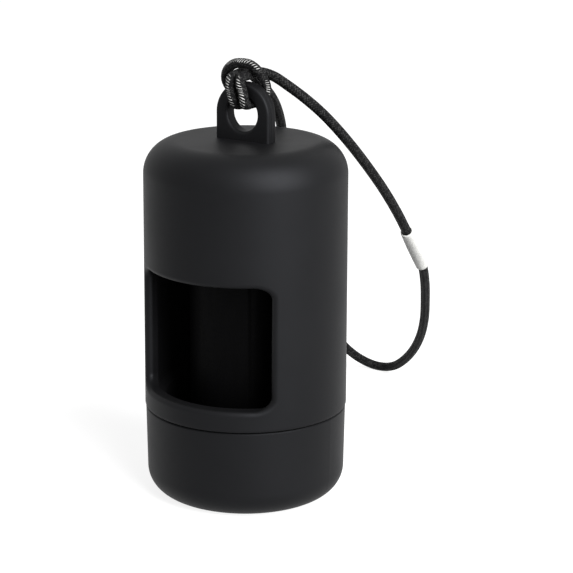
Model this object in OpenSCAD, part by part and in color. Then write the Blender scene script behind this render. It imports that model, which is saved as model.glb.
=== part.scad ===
// Pocket dispenser for rolls of dog waste bags: a moulded can with a window and
// a hanging lug, a screw base, a roll of bags on its core, and an elastic loop.
// The base stands on z = 0, the axis of the can is the Z axis and the window
// faces -Y.

/* [Housing] */
// Outer diameter of the housing at the seam with the base
body_d = 45; // [43:0.5:52]
// Height from the table to the flat top of the housing
body_h = 80; // [79:0.5:110]
// How much smaller the housing's radius is at the top, for mould draft
body_draft = 0.15; // [0:0.05:0.4]
// Thickness of the housing's side wall
wall = 2.9; // [2.2:0.1:3.2]
// Thickness of the housing's top
top_wall = 2.6; // [1.8:0.1:4]
// Radius of the rounded top edge
top_round = 7.2; // [4:0.2:9]
// Radius of the small break on both edges of the seam
seam_edge = 0.25; // [0.1:0.05:0.4]

/* [Neck] */
// Length of the neck that goes down into the base
neck_h = 9.2; // [7:0.2:11]
// Thickness of the neck's wall
neck_wall = 1.8; // [1.4:0.1:2]
// Height of the solid ring that joins the neck to the side wall
ring_h = 2; // [1:0.1:2.2]
// Room between the neck and the base for both threads, per side
thread_room = 1; // [0.8:0.1:1.1]

/* [Window] */
// Height of the window's lower edge above the table
window_z = 25.1; // [24.6:0.1:28]
// Height of the window
window_h = 27.3; // [18:0.1:30]
// Angle that the window spans around the can
window_angle = 100; // [60:1:110]
// Corner radius of the window
window_corner = 2.6; // [1.5:0.1:5]
// Radius of the rounded outer edge around the window
window_edge = 0.8; // [0.4:0.1:1.4]

/* [Lug] */
// Width of the lug across its rounded top
lug_w = 13.6; // [12:0.2:18]
// Thickness of the lug
lug_t = 3.3; // [2.4:0.1:3.4]
// Diameter of the hole through the lug
eye_d = 7.6; // [7.4:0.1:8.2]
// Height of the hole's centre above the flat top
eye_rise = 5.8; // [5.8:0.1:7]
// Radius of the lug's outer edges
lug_edge = 0.5; // [0.2:0.1:0.8]
// Radius of the hole's two rims
eye_edge = 0.45; // [0.2:0.05:0.6]

/* [Base] */
// Height of the screw base
base_h = 20.2; // [18:0.1:23]
// How much smaller the base's radius is than the housing's at the seam
base_step = 0.18; // [0:0.02:0.4]
// How much smaller the base's radius is at the bottom, for mould draft
base_draft = 0.25; // [0:0.05:0.4]
// Radius of the rounded bottom edge
base_round = 5.8; // [3:0.2:7]
// Thickness of the base's side wall
base_wall = 1.6; // [1.2:0.1:1.8]
// Thickness of the base's floor
base_floor = 2.5; // [1.6:0.1:3]
// Radius between the base's floor and its side wall, inside
base_fillet = 0.6; // [0.4:0.1:3]
// Gap that shows as the seam line
seam_gap = 0.3; // [0.15:0.05:0.5]

/* [Bag roll] */
// Length of the roll
roll_h = 62; // [50:1:66]
// Diameter of the partly used roll of bag film
film_d = 25; // [22:0.5:31]
// Outer diameter of the cardboard core
core_d = 15; // [12:0.5:17]
// Thickness of the core's wall
core_wall = 1; // [0.6:0.1:1.5]
// Clearance under the roll and around the core
roll_gap = 0.3; // [0.2:0.05:0.5]
// Radius of the film's soft outer edges
film_round = 0.8; // [0.4:0.1:1.2]
// Depth of the recess in the middle of each face of the film
film_dish = 0.8; // [0.3:0.1:1.5]

/* [Elastic loop] */
// Diameter of the elastic where it hangs free
cord_d = 2.3; // [1.8:0.1:2.4]
// Diameter of the elastic where the knot stretches it
knot_d = 2; // [1.6:0.1:2.1]

/* [Sleeve] */
// Length of the crimp sleeve that joins the elastic's two ends
sleeve_l = 14.4; // [10:0.2:18]
// Diameter of the sleeve at its two mouths
sleeve_d = 3; // [2.9:0.1:3.6]
// Width of the flattened middle of the sleeve
sleeve_w = 3.5; // [3.2:0.1:4.2]
// Thickness of the flattened middle of the sleeve
sleeve_t = 2.9; // [2.8:0.1:3.4]
// Clearance between the elastic and the sleeve's bore, per side
sleeve_gap = 0.08; // [0.05:0.01:0.15]

/* [Hidden] */
$fn = 96;
eps = 0.01;

housing_black = [0.16, 0.16, 0.17];
base_black = [0.15, 0.15, 0.16];
film_black = [0.05, 0.05, 0.05];
core_brown = [0.62, 0.5, 0.36];
cord_black = [0.09, 0.09, 0.1];
sleeve_white = [0.84, 0.84, 0.81];

// The housing's shell
body_r = body_d / 2;
shoulder_z = base_h + seam_gap;
top_r = body_r - body_draft;
bore_r = body_r - wall;
inner_top_z = body_h - top_wall;
inner_round = max(top_round - wall, 0.5);

// The neck hangs from a solid ring at the shoulder
base_r = body_r - base_step;
base_low_r = base_r - base_draft;
base_bore_r = base_r - base_wall;
neck_r = base_bore_r - thread_room;
neck_bore_r = neck_r - neck_wall;
neck_z = shoulder_z - neck_h;
funnel_h = bore_r - neck_bore_r;

// The window's cut starts inside the bore. Its corners lie a little under the
// skin, because the skin falls away round the can, and end one small step short
// of the straight edges, so that a corner's arc crosses them and doesn't only touch
half_angle = window_angle / 2;
corner_angle = asin(window_corner / body_r);
corner_sag = window_corner * window_corner / (4 * body_r);
corner_step = 0.05;
window_mid_z = window_z + window_h / 2;
cut_r = bore_r - 1;

// The lug stands on the middle of the top
lug_r = lug_w / 2;
eye_r = eye_d / 2;
eye_z = body_h + eye_rise;
lug_foot_z = body_h - top_wall / 2;

// The roll stands on the base's floor
roll_z = base_floor + roll_gap;
core_r = core_d / 2;
film_r = film_d / 2;

// The elastic's route: out of the sleeve, round behind the can, over the lug,
// through its eye, round the knot's collar, back over the lug and into the sleeve
sleeve_low = [16.8, 50.4, 42.9];
sleeve_high = [17.8, 40.6, 53.4];
sleeve_mid = (sleeve_low + sleeve_high) / 2;
sleeve_dir = unit(sleeve_high - sleeve_low);
end_space = 0.5;
lower_run = [
    sleeve_mid - sleeve_dir * end_space,
    sleeve_mid - sleeve_dir * sleeve_l / 2,
    [15.0, 55.2, 37.6],
    [12.0, 61.2, 31.2],
    [8.2, 68.0, 23.8],
    [3.6, 74.6, 16.8],
    [-1.6, 80.4, 10.6],
    [-7.0, 85.0, 5.6],
    [-11.4, 88.0, 2.6],
    [-15.0, 89.4, 1.3],
    [-18.4, 89.6, 1.2],
    [-21.4, 88.2, 2.6],
    [-23.6, 85.4, 5.4],
    [-25.0, 81.2, 10.0],
    [-25.4, 75.4, 16.4],
    [-24.6, 68.4, 24.4],
    [-22.6, 60.6, 33.2],
    [-19.8, 52.0, 43.0],
    [-16.6, 43.6, 52.8],
    [-13.2, 36.0, 61.8],
    [-9.8, 30.0, 69.2],
    [-6.8, 25.4, 75.0],
    [-5.0, 22.0, 79.2],
    [-4.0, 19.4, 82.2],
    [-3.2, 16.8, 84.8],
    [-2.6, 14.0, 87.2],
    [-2.2, 11.0, 89.4]
];
knot_run = [
    [-2.1, 8.0, 91.6],
    [-2.1, 5.0, 93.4],
    [-2.2, 2.6, 94.2],
    [-2.3, 0.6, 94.1],
    [-2.3, -1.0, 93.9],
    [-2.2, -2.3, 93.6],
    [-2.1, -2.9, 92.3],
    [-1.8, -3.0, 90.8],
    [-1.3, -3.0, 89.2],
    [-1.0, -2.4, 88.1],
    [-0.9, -1.2, 87.8],
    [-0.9, 0.4, 87.8],
    [-1.0, 1.9, 88.0],
    [-1.6, 3.0, 88.4],
    [-3.0, 3.6, 88.7],
    [-4.8, 3.7, 89.1],
    [-6.2, 3.3, 90.2],
    [-6.8, 2.6, 91.9],
    [-6.3, 1.8, 93.6],
    [-5.0, 1.0, 95.1],
    [-3.2, 0.4, 96.2],
    [-1.2, 0.1, 96.6],
    [0.9, 0.3, 96.4],
    [2.3, 0.9, 95.3],
    [2.9, 1.9, 93.7],
    [3.3, 2.7, 92.2],
    [3.2, 3.2, 90.6],
    [2.6, 3.4, 89.2],
    [1.8, 2.8, 88.2],
    [1.4, 1.7, 88.0],
    [1.3, 0.2, 88.0],
    [1.3, -1.4, 88.0],
    [1.4, -2.7, 88.4],
    [1.5, -3.1, 89.7],
    [1.1, -3.0, 91.1],
    [0.6, -3.0, 92.3],
    [0.2, -2.4, 93.7],
    [0.0, -1.0, 93.9],
    [0.0, 0.6, 94.0],
    [0.3, 2.4, 94.2],
    [1.4, 4.2, 94.2]
];
upper_run = [
    [3.7, 5.4, 93.4],
    [6.8, 6.2, 91.6],
    [10.0, 8.0, 88.9],
    [12.4, 10.6, 85.8],
    [14.2, 14.2, 81.9],
    [15.8, 18.8, 76.9],
    [17.0, 24.0, 71.3],
    [17.8, 29.4, 65.5],
    [18.1, 35.0, 59.4],
    sleeve_mid + sleeve_dir * sleeve_l / 2,
    sleeve_mid + sleeve_dir * end_space
];
route = concat(lower_run, knot_run, upper_run);
knot_first = len(lower_run) + 2;
knot_last = len(lower_run) + len(knot_run) - 3;
cord_sides = 8;
sleeve_sides = 20;
sleeve_rings = 8;

// Unit vector along v
function unit(v) = v / norm(v);

// Part of v that is square to the unit vector t, made a unit vector
function squared(v, t) = unit(v - (v * t) * t);

// Direction of the path p at its point i
function heading(p, i) = unit(p[min(i + 1, len(p) - 1)] - p[max(i - 1, 0)]);

// Side vectors carried along the path p without twist, one for each point
function carried(p, v, i = 0) =
    i == len(p) ? [] :
    let (s = squared(v, heading(p, i)))
    concat([s], carried(p, s, i + 1));

// Radius of the elastic at point i of its route
function cord_r(i) = (i >= knot_first && i <= knot_last ? knot_d : cord_d) / 2;

// Ring of n points round c, with half widths a along u and b along w
function ring(c, u, w, a, b, n) =
    [for (k = [0 : n - 1]) c + a * cos(360 * k / n) * u + b * sin(360 * k / n) * w];

// Faces that join m rings of n points each, one after the other
function skin(m, n) = [
    for (i = [0 : m - 2])
        for (k = [0 : n - 1])
            let (a = i * n + k, b = i * n + (k + 1) % n)
            each [[a, a + n, b], [b, a + n, b + n]]
];

// Flat faces that close the first and the last of m rings of n points
function lids(m, n) = [
    [for (k = [0 : n - 1]) k],
    [for (k = [n - 1 : -1 : 0]) (m - 1) * n + k]
];

// Section of the cut along the window's edge: the opening reaches out to "open",
// then the edge rounds away to the skin that lies "skin_r" from the axis
module edge_section(open, skin_r) {
    translate([0, cut_r]) square([open, skin_r + 1 - cut_r]);
    difference() {
        translate([open - eps, skin_r - window_edge])
            square([window_edge + eps, window_edge + 1]);
        translate([open + window_edge, skin_r - window_edge]) circle(window_edge);
    }
}

// Middle of the window: straight upper and lower edges that follow the can
module window_middle() {
    turn = half_angle - corner_angle;
    rotate([0, 0, -90 - turn]) rotate_extrude(angle = 2 * turn)
        for (side = [0, 1]) {
            translate([0, window_mid_z]) mirror([0, side])
                mirror([1, -1]) edge_section(window_h / 2, body_r);
        }
}

// One side of the window: a radial jamb and its two round corners
module window_side() {
    skin_r = body_r - corner_sag;
    flat_half = window_h / 2 - window_corner - corner_step;
    translate([0, 0, window_mid_z]) rotate([90, 0, half_angle])
        translate([-window_corner, 0, 0]) {
            for (side = [0, 1]) {
                mirror([0, side, 0]) translate([0, flat_half, 0])
                    rotate_extrude(angle = 90) edge_section(window_corner, skin_r);
            }
            translate([0, flat_half, 0]) rotate([90, 0, 0])
                linear_extrude(2 * flat_half) edge_section(window_corner, skin_r);
        }
}

module window_cut() {
    window_middle();
    window_side();
    mirror([1, 0, 0]) window_side();
}

// Half section of the housing without its window and lug
module housing_profile() {
    difference() {
        union() {
            polygon([
                [0, shoulder_z],
                [body_r - seam_edge, shoulder_z],
                [body_r, shoulder_z + seam_edge],
                [top_r, body_h - top_round],
                [0, body_h - top_round]
            ]);
            translate([top_r - top_round, body_h - top_round]) circle(top_round);
            translate([0, body_h - top_round]) square([top_r - top_round, top_round]);
            translate([0, neck_z]) square([neck_r, neck_h + ring_h]);
        }
        union() {
            translate([0, shoulder_z + ring_h + funnel_h])
                square([bore_r, inner_top_z - inner_round - shoulder_z - ring_h - funnel_h]);
            translate([bore_r - inner_round, inner_top_z - inner_round]) circle(inner_round);
            translate([0, inner_top_z - inner_round - eps])
                square([bore_r - inner_round, inner_round + eps]);
            translate([0, neck_z - 1]) square([neck_bore_r, neck_h + ring_h + funnel_h + 2]);
            polygon([
                [neck_bore_r - eps, shoulder_z + ring_h],
                [neck_bore_r, shoulder_z + ring_h],
                [bore_r, shoulder_z + ring_h + funnel_h],
                [neck_bore_r - eps, shoulder_z + ring_h + funnel_h]
            ]);
        }
        translate([-body_d, 0]) square([body_d, 2 * body_h]);
    }
}

// Section of one side of the lug's arch, from the eye's axis outwards
module arch_section() {
    difference() {
        translate([0, -lug_t / 2]) square([lug_r, lug_t]);
        for (side = [-1, 1]) {
            difference() {
                translate([lug_r - lug_edge, side * (lug_t / 2 - lug_edge / 2) - lug_edge / 2])
                    square([lug_edge + eps, lug_edge]);
                translate([lug_r - lug_edge, side * (lug_t / 2 - lug_edge)]) circle(lug_edge);
            }
        }
    }
}

// Rounded arch on two straight legs, with its flat faces square to Y
module lug_plate() {
    translate([0, 0, eye_z]) rotate([90, 0, 0]) rotate_extrude(angle = 180) arch_section();
    for (side = [0, 1]) {
        mirror([side, 0, 0])
            translate([0, 0, lug_foot_z]) linear_extrude(eye_z - lug_foot_z) arch_section();
    }
}

// Hole through the lug, widened by a rounded rim at each face
module eye_cut() {
    translate([0, 0, eye_z]) rotate([90, 0, 0]) rotate_extrude() difference() {
        translate([0, -lug_t / 2 - 1]) square([eye_r + eye_edge, lug_t + 2]);
        translate([eye_r, -lug_t / 2 + eye_edge]) square([2 * eye_edge, lug_t - 2 * eye_edge]);
        for (side = [-1, 1]) {
            translate([eye_r + eye_edge, side * (lug_t / 2 - eye_edge)]) circle(eye_edge);
        }
    }
}

module housing() {
    color(housing_black) difference() {
        union() {
            rotate_extrude() housing_profile();
            lug_plate();
        }
        window_cut();
        eye_cut();
    }
}

// Half section of the base: a rounded cup with a broken upper edge
module base_profile() {
    difference() {
        union() {
            polygon([
                [0, base_round],
                [base_low_r, base_round],
                [base_r, base_h - seam_edge],
                [base_r - seam_edge, base_h],
                [0, base_h]
            ]);
            translate([base_low_r - base_round, base_round]) circle(base_round);
            square([base_low_r - base_round, base_round]);
        }
        translate([0, base_floor + base_fillet]) square([base_bore_r, base_h]);
        translate([base_bore_r - base_fillet, base_floor + base_fillet]) circle(base_fillet);
        translate([0, base_floor]) square([base_bore_r - base_fillet, 2 * base_fillet]);
        translate([-body_d, 0]) square([body_d, body_h]);
    }
}

module screw_base() {
    color(base_black) rotate_extrude() base_profile();
}

// Plain wound cardboard tube
module roll_core() {
    color(core_brown) translate([0, 0, roll_z]) rotate_extrude()
        translate([core_r - core_wall, 0]) square([core_wall, roll_h]);
}

// Film wound on the core, with dished faces and soft outer edges
module bag_film() {
    inner = core_r + roll_gap;
    high = roll_h - 2 * roll_gap;
    rim = film_r - film_round;
    color(film_black) translate([0, 0, roll_z + roll_gap]) rotate_extrude() union() {
        polygon([
            [inner, film_dish],
            [rim, 0],
            [rim, film_round],
            [film_r, film_round],
            [film_r, high - film_round],
            [rim, high - film_round],
            [rim, high],
            [inner, high - film_dish]
        ]);
        translate([rim, film_round]) circle(film_round);
        translate([rim, high - film_round]) circle(film_round);
    }
}

// One unbroken elastic from the sleeve round the loop and the knot and back
module elastic_cord() {
    sides = carried(route, [1, 0, 0]);
    rings = [for (i = [0 : len(route) - 1])
        let (t = heading(route, i), u = sides[i])
        ring(route[i], u, cross(t, u), cord_r(i), cord_r(i), cord_sides)];
    n = cord_sides;
    m = len(rings);
    color(cord_black)
        polyhedron([for (r = rings) each r], concat(skin(m, n), lids(m, n)));
}

// Short tube, round at its mouths and pressed flat in the middle
module crimp_sleeve() {
    u = squared([1, 0, 0], sleeve_dir);
    w = cross(sleeve_dir, u);
    bore = cord_d / 2 + sleeve_gap;
    out = [for (k = [0 : sleeve_rings])
        let (s = k / sleeve_rings, swell = sin(180 * s))
        ring(sleeve_mid + sleeve_dir * sleeve_l * (s - 0.5), u, w,
            (sleeve_d + (sleeve_w - sleeve_d) * swell) / 2,
            (sleeve_d + (sleeve_t - sleeve_d) * swell) / 2, sleeve_sides)];
    back = [for (k = [sleeve_rings : -1 : 0])
        ring(sleeve_mid + sleeve_dir * sleeve_l * (k / sleeve_rings - 0.5), u, w,
            bore, bore, sleeve_sides)];
    rings = concat(out, back, [out[0]]);
    n = sleeve_sides;
    m = len(rings) - 1;
    faces = [for (f = skin(m + 1, n)) [for (v = f) v % (m * n)]];
    color(sleeve_white) polyhedron([for (k = [0 : m - 1]) each rings[k]], faces);
}

housing();
screw_base();
roll_core();
bag_film();
elastic_cord();
crimp_sleeve();
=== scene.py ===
"""Pocket dispenser for rolls of dog waste bags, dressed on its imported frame.

The screw base and the cardboard core keep their own meshes and get their materials
here. The moulded can, the elastic, its crimp sleeve and the wound film are modelled
anew in the space of their plain solids. The screw threads and the lug's parting
line are added. Lengths are in metres, in the frame of the part, unless a comment
says millimetres.
"""

import math

import bmesh
import bpy
from bpy.props import FloatProperty, FloatVectorProperty, IntProperty, PointerProperty
from bpy.types import Operator, Panel, PropertyGroup
from mathutils import Matrix, Vector, noise


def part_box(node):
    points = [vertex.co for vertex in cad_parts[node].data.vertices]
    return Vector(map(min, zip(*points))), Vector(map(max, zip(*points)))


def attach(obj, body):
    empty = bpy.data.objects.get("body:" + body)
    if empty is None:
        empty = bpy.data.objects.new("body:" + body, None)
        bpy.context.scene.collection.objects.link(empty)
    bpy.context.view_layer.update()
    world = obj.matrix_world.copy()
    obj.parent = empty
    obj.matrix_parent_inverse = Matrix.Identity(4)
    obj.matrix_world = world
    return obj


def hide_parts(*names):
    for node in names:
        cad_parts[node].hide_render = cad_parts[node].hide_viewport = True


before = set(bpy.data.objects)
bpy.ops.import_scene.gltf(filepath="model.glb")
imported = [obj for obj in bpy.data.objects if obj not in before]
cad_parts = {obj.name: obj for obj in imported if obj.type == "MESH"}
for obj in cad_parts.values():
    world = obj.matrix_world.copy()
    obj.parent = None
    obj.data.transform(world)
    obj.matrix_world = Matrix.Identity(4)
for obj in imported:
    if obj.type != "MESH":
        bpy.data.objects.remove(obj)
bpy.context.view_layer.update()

bl_info = {
    "name": "Dog waste bag dispenser",
    "version": (1, 0, 0),
    "blender": (4, 5, 0),
    "location": "3D View > Sidebar > Dispenser",
    "description": "Can, elastic, sleeve, film, threads and finishes of the dispenser",
    "category": "Add Mesh",
}


def millimetres(points):
    """The points, given in millimetres, as vectors in metres."""
    return [Vector([part / 1000 for part in point]) for point in points]


# The elastic's route in the part's source. It starts and ends inside the sleeve:
# round behind the can, over the lug, through its eye, round the knot's collar, back
# over the lug and down to the sleeve.
SLEEVE_LOW = Vector((0.0168, 0.0504, 0.0429))
SLEEVE_HIGH = Vector((0.0178, 0.0406, 0.0534))
SLEEVE_MIDDLE = (SLEEVE_LOW + SLEEVE_HIGH) / 2
SLEEVE_ALONG = (SLEEVE_HIGH - SLEEVE_LOW).normalized()
END_SPACE = 0.0005  # from the sleeve's middle to each end of the elastic
LOWER_RUN = millimetres([
    (15.0, 55.2, 37.6), (12.0, 61.2, 31.2), (8.2, 68.0, 23.8), (3.6, 74.6, 16.8),
    (-1.6, 80.4, 10.6), (-7.0, 85.0, 5.6), (-11.4, 88.0, 2.6), (-15.0, 89.4, 1.3),
    (-18.4, 89.6, 1.2), (-21.4, 88.2, 2.6), (-23.6, 85.4, 5.4), (-25.0, 81.2, 10.0),
    (-25.4, 75.4, 16.4), (-24.6, 68.4, 24.4), (-22.6, 60.6, 33.2), (-19.8, 52.0, 43.0),
    (-16.6, 43.6, 52.8), (-13.2, 36.0, 61.8), (-9.8, 30.0, 69.2), (-6.8, 25.4, 75.0),
    (-5.0, 22.0, 79.2), (-4.0, 19.4, 82.2), (-3.2, 16.8, 84.8), (-2.6, 14.0, 87.2),
    (-2.2, 11.0, 89.4),
])
KNOT_RUN = millimetres([
    (-2.1, 8.0, 91.6), (-2.1, 5.0, 93.4), (-2.2, 2.6, 94.2), (-2.3, 0.6, 94.1),
    (-2.3, -1.0, 93.9), (-2.2, -2.3, 93.6), (-2.1, -2.9, 92.3), (-1.8, -3.0, 90.8),
    (-1.3, -3.0, 89.2), (-1.0, -2.4, 88.1), (-0.9, -1.2, 87.8), (-0.9, 0.4, 87.8),
    (-1.0, 1.9, 88.0), (-1.6, 3.0, 88.4), (-3.0, 3.6, 88.7), (-4.8, 3.7, 89.1),
    (-6.2, 3.3, 90.2), (-6.8, 2.6, 91.9), (-6.3, 1.8, 93.6), (-5.0, 1.0, 95.1),
    (-3.2, 0.4, 96.2), (-1.2, 0.1, 96.6), (0.9, 0.3, 96.4), (2.3, 0.9, 95.3),
    (2.9, 1.9, 93.7), (3.3, 2.7, 92.2), (3.2, 3.2, 90.6), (2.6, 3.4, 89.2),
    (1.8, 2.8, 88.2), (1.4, 1.7, 88.0), (1.3, 0.2, 88.0), (1.3, -1.4, 88.0),
    (1.4, -2.7, 88.4), (1.5, -3.1, 89.7), (1.1, -3.0, 91.1), (0.6, -3.0, 92.3),
    (0.2, -2.4, 93.7), (0.0, -1.0, 93.9), (0.0, 0.6, 94.0), (0.3, 2.4, 94.2),
    (1.4, 4.2, 94.2),
])
KNOT_MIDDLE = Vector((-0.0008, 0.0060, 0.0905))
UPPER_RUN = millimetres([
    (3.7, 5.4, 93.4), (6.8, 6.2, 91.6), (10.0, 8.0, 88.9), (12.4, 10.6, 85.8),
    (14.2, 14.2, 81.9), (15.8, 18.8, 76.9), (17.0, 24.0, 71.3), (17.8, 29.4, 65.5),
    (18.1, 35.0, 59.4),
])

# The elastic's cover, for its mesh and its material: yarns round it each way,
# millimetres along it from yarn to yarn, and the depth of the furrows between them
YARNS, YARN_RISE, YARN_DEPTH = 8.0, 0.62, 0.00005

# The moulded can in millimetres, as in the part's source
BODY_R, TOP_R, BODY_H, TOP_ROUND = 22.5, 22.35, 80.0, 7.2
BORE_R, INNER_TOP, INNER_ROUND = 19.6, 77.4, 4.3
NECK_R, NECK_BORE, NECK_LOW, NECK_BREAK = 19.72, 17.92, 11.3, 0.3
SHOULDER, SEAM_BREAK = 20.5, 0.25
SKIN_LOW = SHOULDER + SEAM_BREAK
RING_TOP, FUNNEL_TOP = 22.5, 24.18
LUG_T, LUG_EDGE, EYE_R, EYE_EDGE, EYE_Z = 3.3, 0.6, 3.8, 0.7, 85.8
LUG_SUNK = 1.2

# The can's mesh: steps round it, the flat middle of its top, and the patch that
# holds the window, as steps to each side, rows, and heights in millimetres
TURN_STEPS, TOP_FLAT = 288, 12.0
PATCH_HALF, PATCH_ROWS = 48, 70
PATCH_LOW, PATCH_HIGH, PATCH_INNER_LOW = 22.0, 57.0, 24.6
NEAR = 0.01  # slack for comparing heights and radii


def length_of(name, description, default, least=0.0, digits=4):
    """A length in metres, for a group of settings."""
    return FloatProperty(name=name, description=description, default=default,
                         min=least, unit="LENGTH", precision=digits)


def angle_of(name, description, degrees):
    """An angle, for a group of settings."""
    return FloatProperty(name=name, description=description,
                         default=math.radians(degrees), unit="ROTATION")


def colour_of(name, description, default):
    """A linear colour, for a group of settings."""
    return FloatVectorProperty(name=name, description=description, default=default,
                               subtype="COLOR", min=0.0, max=1.0)


class DispenserSizes(PropertyGroup):
    """Sizes of the pieces that are modelled here"""
    elastic_diameter: length_of(
        "Elastic, free", "Diameter of the elastic where it hangs free", 0.0023, 0.001)
    elastic_stretched: length_of(
        "Elastic, stretched", "Diameter of the elastic in the knot", 0.0022, 0.001, 5)
    sleeve_length: length_of(
        "Sleeve length", "Length of the crimp sleeve", 0.0144, 0.006)
    sleeve_mouth: length_of(
        "Sleeve mouth", "Diameter of the sleeve at its two mouths", 0.0030, 0.0024)
    sleeve_width: length_of(
        "Sleeve width", "Width of the sleeve's flattened middle", 0.0035, 0.0024)
    sleeve_thickness: length_of(
        "Sleeve thickness", "Thickness of its flattened middle", 0.0029, 0.0024)
    thread_lead: length_of(
        "Thread lead", "Rise of the right-hand thread in one turn", 0.004, 0.002)
    thread_turns: FloatProperty(
        name="Thread turns", description="Turns of each thread ridge",
        default=1.55, min=0.5, max=1.7)
    window_width: length_of(
        "Window width", "Width between the window's straight sides", 0.03126, 0.01)
    window_height: length_of(
        "Window height", "Height of the window between sill and top", 0.0273, 0.01)
    window_sill: length_of(
        "Window sill", "Height of the sill above the table", 0.0251, 0.0245)
    window_corner: length_of(
        "Window corner", "Radius of the window's corners", 0.0026, 0.001)
    window_edge: length_of(
        "Window edge", "Radius of the rounded edge round it", 0.0011, 0.0003)
    lug_width: length_of(
        "Lug width", "Width of the lug across its rounded top", 0.0136, 0.01)
    film_loose_end: length_of(
        "Film's loose end", "How far the film's last turn stands off", 0.00035, 0.0, 5)


class DispenserFinishes(PropertyGroup):
    """Colours and surface values of the finishes"""
    plastic: colour_of(
        "Plastic", "Colour of the moulded black plastic", (0.0028, 0.0028, 0.0030))
    plastic_roughness: FloatProperty(
        name="Plastic roughness", description="How matt the moulded plastic is",
        default=0.53, min=0.05, max=1.0, subtype="FACTOR")
    film: colour_of(
        "Bag film", "Colour of the wound film", (0.0005, 0.0005, 0.0006))
    board: colour_of(
        "Core board", "Colour of the cardboard core", (0.38, 0.27, 0.16))
    yarn: colour_of(
        "Yarn", "Colour of the elastic's black cover yarn", (0.0030, 0.0030, 0.0033))
    rubber: colour_of(
        "Rubber", "Colour of the rubber between stretched yarns", (0.50, 0.50, 0.49))
    sleeve: colour_of(
        "Sleeve", "Colour of the off-white crimp sleeve", (0.50, 0.50, 0.485))


class StudioSettings(PropertyGroup):
    """Camera, floor and light of the studio"""
    distance: length_of(
        "Camera distance", "From the aim point to the camera", 0.4616, 0.1)
    azimuth: angle_of("Camera azimuth", "Turn round the can from its window", 33.5)
    elevation: angle_of("Camera elevation", "Angle above the table", 15.79)
    side_turn: angle_of("Side turn", "Puts the can left of the middle", 1.117)
    aim_height: length_of(
        "Aim height", "Height of the aim point on the can's axis", 0.04687, digits=5)
    lens: FloatProperty(
        name="Lens", description="Focal length on a sensor 36 mm wide",
        default=131.1, min=20.0, unit="CAMERA")
    floor_size: length_of("Floor size", "Radius of the round floor", 3.0, 0.5)
    room_light: FloatProperty(
        name="Room light", description="Strength of the room's even light",
        default=0.42, min=0.0)
    floor_glow: FloatProperty(
        name="Floor glow", description="Light of the floor where it is looked at",
        default=0.83, min=0.0)
    side_light: FloatProperty(
        name="Softbox", description="Power of the large softbox",
        default=24.5, min=0.0, unit="POWER")


def smooth_line(points, step, between=24):
    """Evenly spaced points on one smooth curve through the points, and its length."""
    pts = [2 * points[0] - points[1], *points, 2 * points[-1] - points[-2]]
    dense = []
    for i in range(1, len(pts) - 2):
        a, b, c, d = pts[i - 1:i + 3]
        t0 = 0.0
        t1 = math.sqrt((b - a).length)
        t2 = t1 + math.sqrt((c - b).length)
        t3 = t2 + math.sqrt((d - c).length)
        for k in range(between):
            t = t1 + (t2 - t1) * k / between
            ab = a.lerp(b, (t - t0) / (t1 - t0))
            bc = b.lerp(c, (t - t1) / (t2 - t1))
            cd = c.lerp(d, (t - t2) / (t3 - t2))
            abc = ab.lerp(bc, (t - t0) / (t2 - t0))
            bcd = bc.lerp(cd, (t - t1) / (t3 - t1))
            dense.append(abc.lerp(bcd, (t - t1) / (t2 - t1)))
    dense.append(pts[-2])
    run = [0.0]
    for a, b in zip(dense, dense[1:]):
        run.append(run[-1] + (b - a).length)
    total = run[-1]
    count = max(2, round(total / step))
    line, i = [], 0
    for k in range(count + 1):
        s = total * k / count
        while i < len(run) - 2 and run[i + 1] < s:
            i += 1
        span = run[i + 1] - run[i]
        line.append(dense[i].lerp(dense[i + 1], (s - run[i]) / span if span else 0.0))
    return line, total


def carried_sides(line, first_side):
    """Side and upright vectors carried along the line without twist."""
    sides, side = [], Vector(first_side)
    for i in range(len(line)):
        ahead = (line[min(i + 1, len(line) - 1)] - line[max(i - 1, 0)]).normalized()
        side = (side - side.dot(ahead) * ahead).normalized()
        sides.append((side.copy(), ahead.cross(side)))
    return sides


def new_piece(name, vertices, faces, material, smooth=True, uv=None):
    """Object with a mesh at the origin, in the part's frame."""
    mesh = bpy.data.meshes.new(name)
    mesh.from_pydata(vertices, [], faces)
    mesh.update()
    if smooth:
        mesh.polygons.foreach_set("use_smooth", [True] * len(mesh.polygons))
    if uv is not None:
        layer = mesh.uv_layers.new(name="Run")
        flat = [value for pair in uv for value in pair]
        layer.data.foreach_set("uv", flat)
    mesh.materials.append(material)
    piece = bpy.data.objects.new(name, mesh)
    bpy.context.scene.collection.objects.link(piece)
    return piece


def enclosed_volume(mesh, name):
    """Turns the mesh's faces outwards and returns its volume; it must be closed."""
    work = bmesh.new()
    work.from_mesh(mesh)
    bmesh.ops.recalc_face_normals(work, faces=work.faces)
    loose = sum(1 for edge in work.edges if not edge.is_manifold)
    if loose:
        raise RuntimeError(f"{name} isn't closed at {loose} edges")
    volume = work.calc_volume(signed=True)
    if volume < 0:
        bmesh.ops.reverse_faces(work, faces=work.faces)
    work.to_mesh(mesh)
    mesh.update()
    work.free()
    return abs(volume)


def skin_rings(rings):
    """Quads between rings of equal count, and the two ends as flat lids."""
    n = len(rings[0])
    vertices = [v for ring in rings for v in ring]
    faces = []
    for i in range(len(rings) - 1):
        for k in range(n):
            a, b = i * n + k, i * n + (k + 1) % n
            faces.append((a, b, b + n, a + n))
    faces.append(tuple(range(n - 1, -1, -1)))
    faces.append(tuple((len(rings) - 1) * n + k for k in range(n)))
    return vertices, faces


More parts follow.
